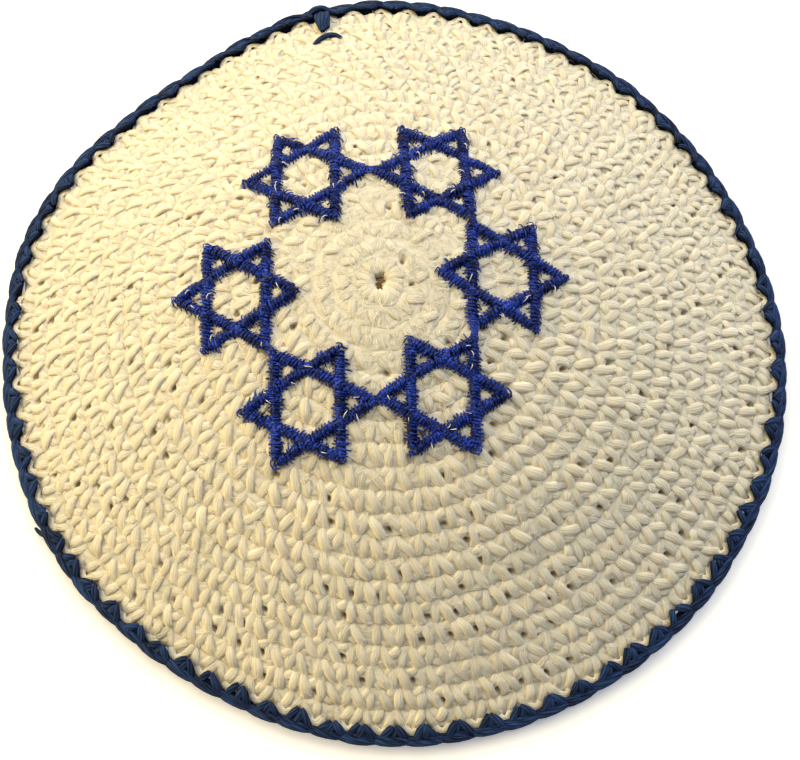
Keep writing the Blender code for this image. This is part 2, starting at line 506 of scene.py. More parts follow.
# Path of a strand in its stitch: along the round, outward in rounds, lift in mm, radius share
LEG = np.array(
    (
        (0.17, 0.00, -1.00, 0.80),
        (0.13, 0.26, -0.42, 0.97),
        (0.11, 0.52, -0.22, 1.05),
        (0.10, 0.80, -0.36, 1.00),
        (0.10, 1.06, -0.95, 0.80),
    )
)
BAR = np.array(
    (
        (0.34, 0.02, -0.98, 0.80),
        (0.44, 0.28, -0.32, 0.97),
        (0.58, 0.52, -0.12, 1.05),
        (0.73, 0.78, -0.28, 1.00),
        (0.87, 1.04, -0.92, 0.80),
    )
)
ARM = np.array(
    (
        (0.68, 0.60, -1.00, 0.75),
        (0.77, 0.44, -0.50, 0.95),
        (0.87, 0.29, -0.32, 1.00),
        (0.97, 0.15, -0.46, 0.95),
        (1.05, 0.02, -1.00, 0.75),
    )
)
FILL = np.array(
    (
        (0.24, 0.62, -0.95, 0.80),
        (0.32, 0.72, -0.62, 0.95),
        (0.42, 0.82, -0.52, 1.00),
        (0.53, 0.94, -0.62, 0.95),
        (0.64, 1.08, -1.00, 0.80),
    )
)
# The first round: strands that run straight out from the eye
PETAL = np.array(
    (
        (0.00, 0.00, -1.15, 0.60),
        (0.03, 0.20, -0.30, 0.85),
        (0.00, 0.50, -0.15, 1.05),
        (-0.03, 0.80, -0.22, 1.20),
        (0.00, 1.12, -0.80, 0.90),
    )
)
PETALS = 19
# The last round's stitches gather to a point between two teeth
EDGE_LEFT = np.array(
    (
        (-0.46, -0.04, -1.1, 0.70),
        (-0.40, 0.28, -0.42, 0.95),
        (-0.30, 0.58, -0.22, 1.00),
        (-0.18, 0.88, -0.45, 0.90),
        (-0.06, 1.16, -1.5, 0.60),
    )
)
EDGE_MIDDLE = np.array(
    (
        (0.10, -0.10, -1.1, 0.70),
        (0.07, 0.16, -0.32, 0.95),
        (0.02, 0.42, -0.10, 1.00),
        (-0.05, 0.68, -0.34, 0.90),
        (-0.10, 0.94, -1.2, 0.60),
    )
)
EDGE_CUP = np.array(
    (
        (-0.34, 0.60, -1.0, 0.65),
        (-0.19, 0.88, -0.20, 0.90),
        (0.02, 1.06, 0.02, 0.95),
        (0.20, 0.90, -0.14, 0.90),
        (0.36, 0.56, -1.0, 0.65),
    )
)
LEG_RADIUS = 0.96 * MM
BAR_RADIUS = 1.01 * MM
ARM_RADIUS = 0.95 * MM
FILL_RADIUS = 0.92 * MM
PETAL_RADIUS = 0.72 * MM
FLATNESS = 0.29
STRAND_SIDES = 6
STRAND_STEPS = 7
WEIGHTS = spline_weights(5, STRAND_STEPS)
MEET_FIRST = 11  # the round after which the inner and the outer piece begin to mix
MEET_ROUNDS = 5  # and the number of rounds that this takes
WHOLE_STITCH = 5.2 * MM  # the strands of narrower stitches are thinner
THINNEST = 0.6  # share of its radius that a strand keeps at least
ROUND_SHARE = (1.0 - EYE_SLANT) / ROUNDS
ROUND_LEAN = -0.3  # how far each round's stitches lie from those of the round before, in stitches
ROUND_IN_STITCHES = 0.9  # a round's width, measured in stitches along it
STITCH_IN_ROUNDS = 1.1
MORE_STITCHES = 4.8  # how many more each round has than the one before
FEWEST_STITCHES = 6
FLAT_ROUNDS = 7  # the first rounds are worn flat and fuzzy
FLAT_SINK = 0.30  # of the strands, in mm, at the eye
FLAT_LIFT = -0.40  # of the yarn behind them

# How much the stitches and strands differ
START_SPREAD = 0.1  # of a round's start, in stitches
STITCH_SPREAD = 0.05
TURN_SPREAD = 0.12  # in radians
ODD_SHARE = 0.06  # share of the strands that are turned more than the others
ODD_SPREAD = 0.35
ALONG_SPREAD = 0.035  # in stitches
OUT_SPREAD = 0.045  # in rounds
LIFT_SPREAD = 0.10  # in mm
RADIUS_SPREAD = 0.06

# Edge of the eye, which is longer from back to front, and ragged: waves per turn, share, phase
EYE_SHORT = 0.92
EYE_LONGER = 0.95
EYE_TURN = 0.15
EYE_WAVES = ((3, 0.22, 0.6), (5, 0.16, 2.0), (9, 0.12, 0.0))
EYE_MARGIN = 0.2 * MM
EYE_DIP = 1.0  # of the yarn round it, in mm

# Small holes that show best: bearing in degrees, slant
HOLES = (
    (45.5, 0.070),
    (354.0, 0.070),
    (205.0, 0.223),
    (272.5, 0.206),
    (90.0, 0.492),
    (90.5, 0.927),
    (140.5, 0.515),
)
PIT_ALONG = 0.93  # where in its stitch a pit lies
PIT_OUT = 0.74
PIT_ALONG_SPREAD = 0.03
PIT_OUT_SPREAD = 0.04
PIT_SHARE = 0.36  # share of the stitches that have a pit, where pits are most common
PIT_SIDE = math.radians(325)  # the side where they are
PIT_LEAST = 0.35  # part of that share on the side across from it
PIT_ROUNDS = 12  # rounds over which they become common
PIT_WALL = 1.6  # slope of their sides
PIT_RADIUS = 0.85 * MM
PIT_DEPTH = -1.90
PUSH_NEAR = 1.22 * MM  # strands are pushed this far off a pit's middle
PUSH_FAR = 2.2 * MM


def flat_point(bearing, slant):
    """A point of the cloth laid out flat."""
    return SLANT_LENGTH * np.stack([slant * np.cos(bearing), slant * np.sin(bearing)], -1)


def pit_points():
    """Middles of all the small holes, on the cloth laid out flat."""
    places = [(math.radians(bearing), slant) for bearing, slant in HOLES]
    for number in range(2, ROUNDS - 1):
        start = STARTS[number]
        side = PIT_LEAST + (1.0 - PIT_LEAST) * np.cos(0.5 * (start - PIT_SIDE)) ** 2
        chosen = start[rng.random(len(start)) < PIT_SHARE * side * min(1.0, number / PIT_ROUNDS)]
        for first in chosen:
            bearing = first + (PIT_ALONG + rng.normal(0, PIT_ALONG_SPREAD)) * TAU / len(start)
            out = number + PIT_OUT + rng.normal(0, PIT_OUT_SPREAD)
            places.append((bearing, EYE_SLANT + out * ROUND_SHARE))
    places = np.array(places)
    return flat_point(places[:, 0], places[:, 1])


def pit_offset(bearing, slant):
    """Step and distance to each point from its nearest pit."""
    step = flat_point(bearing, slant)[..., None, :] - PITS
    gap = np.linalg.norm(step, axis=-1)
    nearest = gap.argmin(-1)[..., None]
    step = np.take_along_axis(step, nearest[..., None], -2)[..., 0, :]
    return step, np.take_along_axis(gap, nearest, -1)[..., 0]


def pushed(bearing, slant):
    """The same points, moved off the pits near them."""
    step, gap = pit_offset(bearing, slant)
    share = np.clip(gap / PUSH_FAR, 0.0, 1.0)
    reach = PUSH_NEAR + (PUSH_FAR - PUSH_NEAR) * share
    scale = np.where(gap < PUSH_FAR, reach / np.maximum(gap, 0.05 * MM), 1.0)
    point = flat_point(bearing, slant) + step * (scale - 1.0)[..., None]
    turn = np.arctan2(point[..., 1], point[..., 0])
    turn = bearing + (turn - bearing + math.pi) % TAU - math.pi
    return turn, np.hypot(point[..., 0], point[..., 1]) / SLANT_LENGTH


def eye_slant(bearing):
    """Slant of the eye's edge."""
    ragged = sum(share * np.sin(waves * bearing + phase) for waves, share, phase in EYE_WAVES)
    return EYE_SLANT * (EYE_SHORT + EYE_LONGER * np.sin(bearing + EYE_TURN) ** 2 + ragged)


def mirrored(table):
    out = table.copy()
    out[:, 0] *= -1
    return out


def stitch_counts():
    """Stitches in each round: about five more each time, and one to each tooth in the last."""
    counts = [max(FEWEST_STITCHES, round(MORE_STITCHES * (number + 1))) for number in range(ROUNDS)]
    counts[-1] = TEETH
    return counts


def stitch_starts():
    """Bearing at which each stitch of each round begins."""
    starts = []
    lean = 0.0
    for number, count in enumerate(stitch_counts()):
        width = TAU / count
        lean += ROUND_LEAN
        last = number == ROUNDS - 1
        first = 0.5 if last else lean + rng.normal(0, START_SPREAD)
        wander = 0.0 if last else STITCH_SPREAD
        starts.append(width * (np.arange(count) + first + rng.normal(0, wander, count)))
    return starts


STARTS = stitch_starts()
PITS = pit_points()


def lay_strands(bundle, table, start, width, inner, radius, jitter, weights=WEIGHTS):
    """One strand of a table in each of the given stitches of a round; jitter scales how they differ."""
    number = len(start)
    controls = np.broadcast_to(table[None], (number, *table.shape)).copy()
    odd = rng.random(number) < ODD_SHARE * jitter
    turn = (rng.normal(0, TURN_SPREAD * jitter, number) + odd * rng.normal(0, ODD_SPREAD, number))[:, None]
    middle_along, middle_out = table[:, 0].mean(), table[:, 1].mean()
    along = controls[:, :, 0] - middle_along
    out = controls[:, :, 1] - middle_out
    controls[:, :, 0] = middle_along + along * np.cos(turn) - out * np.sin(turn) * ROUND_IN_STITCHES
    controls[:, :, 1] = middle_out + along * np.sin(turn) * STITCH_IN_ROUNDS + out * np.cos(turn)
    controls[:, :, 0] += rng.normal(0, ALONG_SPREAD * jitter, (number, 1))
    controls[:, :, 1] += rng.normal(0, OUT_SPREAD * jitter, (number, 1))
    controls[:, 1:-1, 2] += rng.normal(0, LIFT_SPREAD * jitter, (number, 1))
    controls[:, :, 2] -= FLAT_SINK * max(0.0, 1.0 - inner / FLAT_ROUNDS)
    points = np.einsum("mc,ncd->nmd", weights, controls)
    bearing = start[:, None] + points[:, :, 0] * width
    slant = EYE_SLANT + (inner + points[:, :, 1]) * ROUND_SHARE
    slant = np.maximum(slant, eye_slant(bearing) + EYE_MARGIN / SLANT_LENGTH)
    radii = points[:, :, 3] * radius * rng.normal(1.0, RADIUS_SPREAD * jitter, (number, 1))
    bearing, slant = pushed(bearing, slant)
    paths = dome(bearing, slant, points[:, :, 2] * MM)
    bundle.add(paths, radii, dome_normal(bearing, slant), rng.random(number), FLATNESS)


def build_crown():
    """The outer face's strands, in two pieces."""
    inner = Bundle(STRAND_SIDES)
    outer = Bundle(STRAND_SIDES)
    strands = (
        (FILL, FILL_RADIUS),
        (ARM, ARM_RADIUS),
        (LEG, LEG_RADIUS),
        (BAR, BAR_RADIUS),
    )
    petal_start = TAU / PETALS * np.arange(PETALS)
    lay_strands(inner, PETAL, petal_start, 1.0, 0, PETAL_RADIUS, 0.5)
    for number in range(1, ROUNDS - 1):
        start = STARTS[number]
        width = TAU / len(start)
        wide = width * (number + 0.5) * SLANT_LENGTH / ROUNDS
        narrow = THINNEST + (1.0 - THINNEST) * min(1.0, wide / WHOLE_STITCH)
        # The two pieces meet stitch by stitch, over a few rounds
        far = rng.random(len(start)) < (number - MEET_FIRST) / MEET_ROUNDS
        for bundle, chosen in ((inner, start[~far]), (outer, start[far])):
            for table, radius in strands:
                if len(chosen):
                    lay_strands(bundle, table, chosen, width, number, radius * narrow, 1.0)
    for table in (EDGE_LEFT, mirrored(EDGE_LEFT), EDGE_MIDDLE, EDGE_CUP):
        lay_strands(outer, table, STARTS[-1], TAU / TEETH, ROUNDS - 1, BAR_RADIUS, 1.0)
    for name, bundle in (("crown_stitches_inner", inner), ("crown_stitches_outer", outer)):
        place(name, bundle.mesh(name), CREAM, ["crown"], "crown_yarn")


# Section of the yarn behind a round's strands: outward in rounds, lift in mm
ROPE = np.array(
    (
        (-0.10, -1.10),
        (0.04, -0.76),
        (0.17, -0.47),
        (0.34, -0.34),
        (0.52, -0.32),
        (0.64, -0.34),
        (0.74, -0.40),
        (0.84, -0.50),
        (0.93, -0.72),
        (1.03, -1.10),
        (1.03, -2.05),
        (-0.10, -2.05),
    )
)
ROPE_TOP = 10  # points of the section that face up
# Sway of its outer side, in rounds
ROPE_WAVE = np.array((0, 0, 0, 0, 0.01, 0.03, 0.06, 0.08, 0.09, 0.09, 0, 0))
ROPE_COLUMNS = 7  # in each stitch
ROPE_PHASE = 1.2  # of the sway, in radians
ROPE_SPREAD = 0.07  # of its lift, in mm
ROPE_FLATTENED = 0.8  # how nearly flat it is at the eye
ROPE_TURN = 0.8  # of the yarn's twist that its section shows
ROPE_TONE = 0.3


def build_backing():
    """The yarn behind the strands: a thick ring for each round, with pits at some stitches' feet, painted
    dark brown as shade in the holes.
    """
    points = []
    faces = []
    uvs = []
    shades = []
    base = 0
    sides = len(ROPE)
    for number, start in enumerate(STARTS):
        columns = len(start) * ROPE_COLUMNS
        bearing = start[0] + TAU * np.arange(columns) / columns
        phase = TAU * np.arange(columns) / ROPE_COLUMNS - ROPE_PHASE
        out = ROPE[:, 0] + ROPE_WAVE * np.cos(phase)[:, None]
        lift = np.broadcast_to(ROPE[:, 1], (columns, sides)).copy()
        lift[:, 1 : ROPE_TOP - 1] += rng.normal(0, ROPE_SPREAD, (columns, ROPE_TOP - 2))
        flat = ROPE_FLATTENED * max(0.0, 1.0 - number / FLAT_ROUNDS)
        lift[:, :ROPE_TOP] += flat * (FLAT_LIFT - lift[:, :ROPE_TOP])
        if number == 0:
            lift[:, :ROPE_TOP] -= EYE_DIP * (1.0 - out[:, :ROPE_TOP])
        turn = np.broadcast_to(bearing[:, None], out.shape)
        edge = eye_slant(turn) if number == 0 else EYE_SLANT + number * ROUND_SHARE
        slant = edge + out * (EYE_SLANT + (number + 1) * ROUND_SHARE - edge)
        # The pits sink the backing and set how much painted brown shade it gets there
        pits = np.clip(PIT_WALL * (1.0 - pit_offset(turn, slant)[1] / PIT_RADIUS), 0.0, 1.0)
        pits[:, ROPE_TOP:] = 0.0
        lift += pits * (np.minimum(lift, PIT_DEPTH) - lift)
        shades.append(pits.ravel())
        points.append(dome(turn, slant, lift * MM).reshape(-1, 3))
        index = base + np.arange(columns * sides).reshape(columns, sides)
        right = np.roll(index, -1, axis=0)
        corners = [index, np.roll(index, -1, 1), np.roll(right, -1, 1), right]
        faces.append(np.stack(corners, -1).reshape(-1, 4))
        round_length = TAU * SLANT_LENGTH * (number + 0.5) / ROUNDS / MM
        low = round_length * np.arange(columns) / columns
        high = round_length * (np.arange(columns) + 1) / columns
        across = ROPE_TURN * np.arange(sides + 1) / sides
        u = np.broadcast_to(
            np.stack([across[:-1], across[1:], across[1:], across[:-1]], -1), (columns, sides, 4)
        )
        v = np.broadcast_to(np.stack([low, low, high, high], -1)[:, None], (columns, sides, 4))
        uvs.append(np.stack([u, v], -1).reshape(-1, 2))
        base += columns * sides
    made = mesh_of("crown_backing", points, faces, uvs, np.full(base, ROPE_TONE))
    shade = made.attributes.new("shade", "FLOAT", "POINT")
    shade.data.foreach_set("value", np.concatenate(shades).astype(np.float32))
    place("crown_backing", made, CREAM_BACK, ["crown"], "crown_yarn")


# The inside of each stitch: a bar along the round and a short leg
INSIDE_BAR = np.array(
    (
        (-0.08, 0.40, -2.2, 0.5),
        (0.20, 0.52, -2.62, 0.95),
        (0.50, 0.55, -2.72, 1.0),
        (0.80, 0.50, -2.62, 0.95),
        (1.08, 0.38, -2.2, 0.5),
    )
)
INSIDE_LEG = np.array(
    (
        (0.30, 0.55, -2.1, 0.5),
        (0.38, 0.75, -2.45, 0.9),
        (0.48, 0.95, -2.55, 1.0),
        (0.58, 1.15, -2.45, 0.9),
        (0.66, 1.35, -2.1, 0.5),
    )
)
INSIDE_RADIUS = 0.72 * MM
INSIDE_SIDES = 5
INSIDE_STEPS = 6


def build_inside():
    """The strands on the inner face."""
    bundle = Bundle(INSIDE_SIDES)
    weights = spline_weights(5, INSIDE_STEPS)
    for number, start in enumerate(STARTS):
        width = TAU / len(start)
        for table in (INSIDE_LEG, INSIDE_BAR):
            if number < ROUNDS - 1 or table is INSIDE_BAR:
                lay_strands(bundle, table, start, width, number, INSIDE_RADIUS, 0.5, weights)
    place("crown_inside_stitches", bundle.mesh("crown_inside_stitches"), CREAM, ["crown"], "crown_yarn")


# The edging

# Path of a strand in one tooth's width: along the rim, inset in mm, height in mm, radius in mm
CHAIN_TOP = np.array(
    (
        (-0.34, 1.45, 2.3, 0.50),
        (0.00, 0.98, 2.80, 0.82),
        (0.42, 0.82, 2.90, 0.88),
        (0.86, 1.00, 2.70, 0.80),
        (1.20, 1.45, 2.1, 0.50),
    )
)
CHAIN_INNER = np.array(
    (
        (-0.20, 1.75, 2.5, 0.50),
        (0.10, 1.60, 3.15, 0.66),
        (0.45, 1.50, 3.25, 0.70),
        (0.80, 1.42, 3.05, 0.66),
        (1.10, 1.15, 2.5, 0.50),
    )
)
CHAIN_SIDE = np.array(
    (
        (-0.34, 1.35, 2.0, 0.50),
        (0.00, 0.90, 1.60, 0.80),
        (0.40, 0.78, 1.40, 0.86),
        (0.80, 0.92, 1.65, 0.80),
        (1.14, 1.40, 2.1, 0.50),
    )
)
CHAIN_UNDER = np.array(
    (
        (-0.20, 2.20, 1.3, 0.60),
        (0.15, 1.95, 1.05, 0.95),
        (0.50, 1.85, 1.02, 1.0),
        (0.85, 1.95, 1.05, 0.95),
        (1.20, 2.20, 1.3, 0.60),
    )
)
TOOTH_LEFT = np.array(
    (
        (0.12, 1.45, 2.6, 0.62),
        (0.20, 2.00, 3.35, 0.78),
        (0.28, 2.60, 3.88, 0.80),
        (0.36, 3.15, 4.22, 0.72),
        (0.44, 3.75, 4.15, 0.52),
    )
)
TOOTH_RIGHT = np.array(
    (
        (0.90, 1.45, 2.6, 0.62),
        (0.80, 2.00, 3.35, 0.78),
        (0.70, 2.60, 3.92, 0.82),
        (0.60, 3.15, 4.28, 0.74),
        (0.51, 3.70, 4.20, 0.52),
    )
)
TOOTH_CORE = np.array(
    (
        (0.46, 1.60, 2.7, 0.75),
        (0.48, 2.10, 3.32, 0.92),
        (0.50, 2.60, 3.76, 0.92),
        (0.52, 3.10, 4.05, 0.78),
        (0.53, 3.50, 3.95, 0.50),
    )
)
CORE_SHARE = 0.85  # teeth that their core fills; in the others some cream shows

EDGE_SIDES = 8
EDGE_FLATNESS = 0.85
EDGE_ALONG_SPREAD = 0.03  # in teeth
EDGE_INSET_SPREAD = 0.10  # in mm
EDGE_HEIGHT_SPREAD = 0.08

# How much longer than usual each tooth is, in mm: most so at the front right
LONGEST_AT = math.radians(295)
TOOTH_LENGTHS = 0.45 * np.cos(TAU / TEETH * np.arange(TEETH) - LONGEST_AT) + rng.normal(-0.1, 0.3, TEETH)
LENGTHENED_FROM = 1.8  # inset, in mm
LENGTHENED_OVER = 1.8

# Each tooth's own shift along the rim, inward in mm and upward in mm
TOOTH_SHIFTS = rng.normal(0, 1, (TEETH, 3)) * np.array((0.045, 0.12, 0.06))
SHIFTED_FROM = 1.6
SHIFTED_OVER = 1.5


def lay_edge(bundle, table, share=1.0):
    """One strand of a table in the given share of the teeth's widths."""
    spacing = TAU / TEETH
    start = spacing * (np.arange(TEETH) - 0.5)
    controls = np.broadcast_to(table[None], (TEETH, *table.shape)).copy()
    controls[:, :, 0] += rng.normal(0, EDGE_ALONG_SPREAD, (TEETH, 1))
    controls[:, :, 1] += rng.normal(0, EDGE_INSET_SPREAD, (TEETH, 1))
    controls[:, :, 2] += np.abs(rng.normal(0, EDGE_HEIGHT_SPREAD, (TEETH, 1)))
    shifted = np.clip((table[:, 1] - SHIFTED_FROM) / SHIFTED_OVER, 0.0, 1.0)
    controls[:, :, :3] += TOOTH_SHIFTS[:, None] * shifted[:, None]
    longer = np.clip((table[:, 1] - LENGTHENED_FROM) / LENGTHENED_OVER, 0.0, 1.0)
    controls[:, :, 1] += TOOTH_LENGTHS[:, None] * longer
    points = np.einsum("mc,ncd->nmd", WEIGHTS, controls)
    bearing = start[:, None] + points[:, :, 0] * spacing
    paths = rim(bearing, points[:, :, 1] * MM, points[:, :, 2] * MM)
    ups = dome_normal(bearing, np.full_like(bearing, 1.0))
    radii = points[:, :, 3] * MM * rng.normal(1.0, RADIUS_SPREAD, (TEETH, 1))
    keep = rng.random(TEETH) < share
    bundle.add(paths[keep], radii[keep], ups[keep], rng.random(TEETH)[keep], EDGE_FLATNESS)


# Single strands: bearing in degrees, slant, lift in mm at each point
KNOT = (
    (100.3, 1.002, 0.9),
    (101.4, 1.011, 1.9),
    (102.6, 1.013, 2.1),
    (103.6, 1.008, 1.8),
    (104.3, 1.000, 0.9),
)
SPIKE_LONG = ((102.8, 1.010, 0.6), (102.75, 0.980, 1.4), (102.6, 0.950, 1.3), (102.4, 0.920, 0.5))
SPIKE_MIDDLE = ((102.0, 1.010, 0.9), (102.0, 0.980, 1.7), (102.0, 0.953, 1.5), (101.95, 0.926, 0.6))
SPIKE_SHORT = ((101.1, 1.010, 0.6), (101.25, 0.985, 1.5), (101.35, 0.960, 1.4), (101.45, 0.934, 0.5))
LOOSE_STITCH = (
    (104.9, 0.877, -0.9),
    (103.6, 0.883, 0.2),
    (101.8, 0.890, 0.6),
    (100.2, 0.887, 0.2),
    (99.0, 0.877, -0.9),
)
TAIL = ((210.6, 1.010, 0.6), (210.0, 1.027, 0.7), (209.2, 1.036, 0.5), (208.3, 1.043, 0.2))
# Each with its radius in mm
SINGLES = (
    (KNOT, 0.9),
    (SPIKE_LONG, 0.95),
    (SPIKE_MIDDLE, 0.9),
    (SPIKE_SHORT, 0.9),
    (LOOSE_STITCH, 0.72),
    (TAIL, 0.5),
)
SINGLE_STEPS = 14
SINGLE_FLATNESS = 0.9


def lay_single(bundle, points, radius):
    """A strand that tapers to both ends."""
    table = spline_weights(len(points), SINGLE_STEPS) @ np.array(points)
    bearing = np.radians(table[:, 0])
    paths = dome(bearing, table[:, 1], table[:, 2] * MM)
    swell = np.sin(math.pi * np.linspace(0.12, 0.88, SINGLE_STEPS)) ** 0.5
    ups = dome_normal(bearing, table[:, 1])
    bundle.add(paths[None], (radius * MM * swell)[None], ups[None], [0.5], SINGLE_FLATNESS)


EYE_HEADINGS = (0.1, 0.6, 1.1, 1.6, 2.1, 2.6)
EYE_STEPS = 7
EYE_REACH = 3.2  # how far the yarn below the eye reaches, in radii of the eye
EYE_DEPTH = -1.95 * MM
EYE_LAYER = 0.12 * MM  # each strand lies this far below the one before
EYE_YARN_RADIUS = 0.8 * MM
EYE_FLATNESS = 0.6


def build_eye():
    """Yarn that crosses below the eye, coloured dark brown as painted shade in the hole."""
    bundle = Bundle(STRAND_SIDES)
    share = np.linspace(-1.0, 1.0, EYE_STEPS)
    for number, heading in enumerate(EYE_HEADINGS):
        where = np.where(share < 0, heading + math.pi, heading)
        slant = EYE_SLANT * EYE_REACH * np.abs(share)
        path = dome(where, slant, np.full(EYE_STEPS, EYE_DEPTH - EYE_LAYER * number))
        radii = np.full((1, EYE_STEPS), EYE_YARN_RADIUS)
        bundle.add(path[None], radii, dome_normal(where, slant)[None], [0.2], EYE_FLATNESS)
    place("crown_eye_yarn", bundle.mesh("crown_eye_yarn"), EYE_SHADE_YARN, ["crown"], "crown_yarn")


def build_edging():
    """The chain and teeth round the rim, and the single strands on it."""
    bundle = Bundle(EDGE_SIDES)
    for table in (CHAIN_UNDER, CHAIN_SIDE, CHAIN_INNER, CHAIN_TOP, TOOTH_LEFT, TOOTH_RIGHT):
        lay_edge(bundle, table)
    lay_edge(bundle, TOOTH_CORE, CORE_SHARE)
    for points, radius in SINGLES:
        lay_single(bundle, points, radius)
    place("edging_strands", bundle.mesh("edging_strands"), NAVY, ["edging"], "edging_yarn")


# The stars

THREAD_SPACING = 0.18 * MM
THREAD_RADIUS = 0.14 * MM
THREAD_FLATNESS = 0.8
THREAD_STEPS = 7
THREAD_REACH = 0.6 * MM  # how far the threads reach past the solid star
THREAD_SIDES = 4
THREAD_LEAN = 0.22  # how much they slant across their band
THREAD_SHIFT_SPREAD = 0.04 * MM
THREAD_LIFT_SPREAD = 0.045
THREAD_RADIUS_SPREAD = 0.08
BAND_OVERRUN = 0.8 * MM
TAPER_LENGTH = 2.6 * MM  # over which a band narrows to a tip
TAPER_LEAST = 0.35
CROSSING_LIFT = 0.45  # of a band that passes over another, in mm
CROSSING_REACH = 2.1 * MM
# Bands: the tip that each begins at, and whether it passes over (1) or under (-1) at its first crossing
BANDS = ((0, 1.0), (2, 1.0), (4, 1.0), (1, -1.0), (3, -1.0), (5, -1.0))
PUNCTURE_SPACING = 0.72 * MM  # threads that share a needle hole end together
PUNCTURE_SPREAD = 0.12 * MM
PUNCTURE_PULL = 0.8  # how far a thread's end is drawn to its hole
PUNCTURE_REACH = (1.4, 0.19)  # shape and scale, in mm, of how far out the holes lie
PUNCTURE_FARTHEST = 1.2
REACH_SPREAD = 0.03 * MM
# Across a band: lift in mm and radius share
SATIN_LIFT = np.array((-0.8, 0.40, 0.92, 1.08, 0.92, 0.40, -0.8))
SATIN_RADIUS = np.array((0.4, 0.9, 1.0, 1.0, 1.0, 0.9, 0.4))
SATIN_WIDTH = 1.06 * BAND_WIDTH


def star_frame(star, x, y):
    """Bearing and slant of points of the flat star laid on the dome."""
    _, bearing, distance_share, turn, stretch, skew = star
    turn = math.radians(turn)
    outward = stretch * (x * math.cos(turn) - y * math.sin(turn))
    across = x * math.sin(turn) + y * math.cos(turn) + skew * outward
    foreshortening = math.cos(float(slope_at(slant_of(distance_share))))
    distance = distance_share * CROWN_RADIUS + outward * foreshortening
    angle = math.radians(bearing) + np.arctan2(across, distance)
    return angle, slant_of(np.hypot(distance, across) / CROWN_RADIUS)


def tip_point(index, reach=0.0):
    angle = TAU / 6 * index
    return np.array([math.cos(angle), math.sin(angle)]) * (STAR_RADIUS + THREAD_REACH + reach)


def punctures(length, along):
    """Where each thread enters the cloth on one side, and how far out."""
    count = int((length + 2 * BAND_OVERRUN) / PUNCTURE_SPACING)
    holes = np.linspace(-BAND_OVERRUN, length + BAND_OVERRUN, count)
    holes = holes + rng.normal(0, PUNCTURE_SPREAD, count)
    nearest = np.abs(along[:, None] - holes[None]).argmin(1)
    reach = np.clip(rng.gamma(*PUNCTURE_REACH, count), 0.0, PUNCTURE_FARTHEST) * MM
    ends = along + PUNCTURE_PULL * (holes[nearest] - along)
    return ends, reach[nearest] + rng.normal(0, REACH_SPREAD, len(along))


def lay_star(bundle, star):
    """The satin threads of a star's six bands."""
    share = np.linspace(0, 1, THREAD_STEPS)
    for first, over in BANDS:
        begin = tip_point(first)
        end = tip_point(first + 2)
        length = np.linalg.norm(end - begin)
        direction = (end - begin) / length
        across = np.array([-direction[1], direction[0]])
        count = int((length + 2 * BAND_OVERRUN) / THREAD_SPACING)
        along = np.linspace(-BAND_OVERRUN, length + BAND_OVERRUN, count)
        along = along + rng.normal(0, THREAD_SHIFT_SPREAD, count)
        to_end = np.minimum(along, length - along) + BAND_OVERRUN
        taper = np.clip(to_end / TAPER_LENGTH, TAPER_LEAST, 1.0)
        low_at, low_reach = punctures(length, along)
        high_at, high_reach = punctures(length, along)
        low = -(0.5 * SATIN_WIDTH * taper + low_reach)
        high = 0.5 * SATIN_WIDTH * taper + high_reach
        sideways = low[:, None] + (high - low)[:, None] * share
        run = low_at[:, None] + (high_at - low_at)[:, None] * share + THREAD_LEAN * sideways
        x = begin[0] + direction[0] * run + across[0] * sideways
        y = begin[1] + direction[1] * run + across[1] * sideways
        bump = np.exp(-(((along - length / 3) / CROSSING_REACH) ** 2))
        dip = np.exp(-(((along - 2 * length / 3) / CROSSING_REACH) ** 2))
        raised = over * CROSSING_LIFT * (bump - dip)
        lift = SATIN_LIFT[None] + raised[:, None] + rng.normal(0, THREAD_LIFT_SPREAD, (count, 1))
        where, slant = star_frame(star, x, y)
        paths = dome(where, slant, lift * MM)
        radii = THREAD_RADIUS * SATIN_RADIUS[None] * rng.normal(1.0, THREAD_RADIUS_SPREAD, (count, 1))
        bundle.add(paths, radii, dome_normal(where, slant), rng.random(count), THREAD_FLATNESS)


PADDING_STEPS = 13
PADDING_LIFT = 0.10 * MM
PADDING_RADIUS = 1.0 * MM
PADDING_FLATNESS = 0.6


def lay_padding(bundle, star):
    """A flat core under each band, so that little cream shows between its threads."""
    share = np.linspace(0.03, 0.97, PADDING_STEPS)
    radii = np.full((1, PADDING_STEPS), PADDING_RADIUS)
    for first in range(6):
        begin = tip_point(first)
        end = tip_point(first + 2)
        x = begin[0] + (end[0] - begin[0]) * share
        y = begin[1] + (end[1] - begin[1]) * share
        where, slant = star_frame(star, x, y)
        path = dome(where, slant, np.full(PADDING_STEPS, PADDING_LIFT))
        # Tone 0 makes the core a little darker than the threads: painted shade between them
        bundle.add(path[None], radii, dome_normal(where, slant)[None], [0.0], PADDING_FLATNESS)


def build_stars():
    """One piece of threads for each star."""
    for star in STARS:
        bundle = Bundle(THREAD_SIDES)
        lay_padding(bundle, star)
        lay_star(bundle, star)
        label = star[0] + "_threads"
        place(label, bundle.mesh(label), ROYAL, [star[0]], "star_thread")


LINK_THREADS = 8
LINK_RADIUS = 0.15 * MM
LINK_SPACING = 0.22 * MM
LINK_SIDES = 5
LINK_STEPS = 9
LINK_INSET = -0.6 * MM  # from the stars' tips
LINK_LIFT = 0.6 * MM
LINK_ARCH = 0.3 * MM
UNLINKED = "star_back_left"  # no thread joins this star to the next


